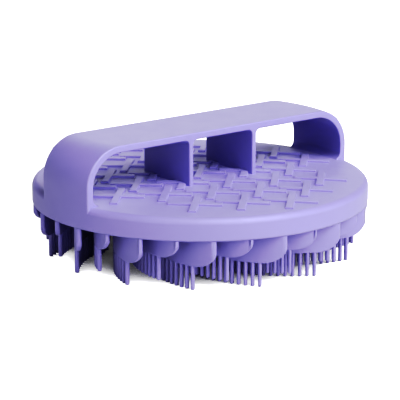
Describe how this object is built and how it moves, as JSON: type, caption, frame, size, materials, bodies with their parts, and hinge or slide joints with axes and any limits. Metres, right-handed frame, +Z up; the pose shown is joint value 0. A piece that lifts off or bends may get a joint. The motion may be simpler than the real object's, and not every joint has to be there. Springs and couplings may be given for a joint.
{
  "type": "curry comb",
  "caption": "Round horse-grooming curry comb: a disc with raised crosses, a bridge handle with two dividers, and swirled pinned comb blades underneath.",
  "frame": {"origin": "centre of the disc in plan, on the plane that the tall blades' pin tips stand on", "axes": "+Z up through the disc and handle, +X along the bridge handle, +Y across it"},
  "size_m": [0.14, 0.14, 0.0531],
  "materials": {
    "shell": "satin",
    "grip": "satin",
    "comb": "satin"
  },
  "bodies": {
    "root": {"cap": "shell", "handle": "grip", "comb_plate": "comb", "tall_blade_01": "comb", "tall_blade_02": "comb", "tall_blade_03": "comb", "tall_blade_04": "comb", "tall_blade_05": "comb", "tall_blade_06": "comb", "tall_blade_07": "comb", "tall_blade_08": "comb", "tall_blade_09": "comb", "tall_blade_10": "comb", "tall_blade_11": "comb", "tall_blade_12": "comb", "tall_blade_13": "comb", "tall_blade_14": "comb", "tall_blade_15": "comb", "short_blade_01": "comb", "short_blade_02": "comb", "short_blade_03": "comb", "short_blade_04": "comb", "short_blade_05": "comb", "short_blade_06": "comb", "short_blade_07": "comb", "short_blade_08": "comb", "short_blade_09": "comb", "short_blade_10": "comb", "short_blade_11": "comb", "short_blade_12": "comb", "short_blade_13": "comb", "short_blade_14": "comb", "short_blade_15": "comb"}
  },
  "joints": []
}
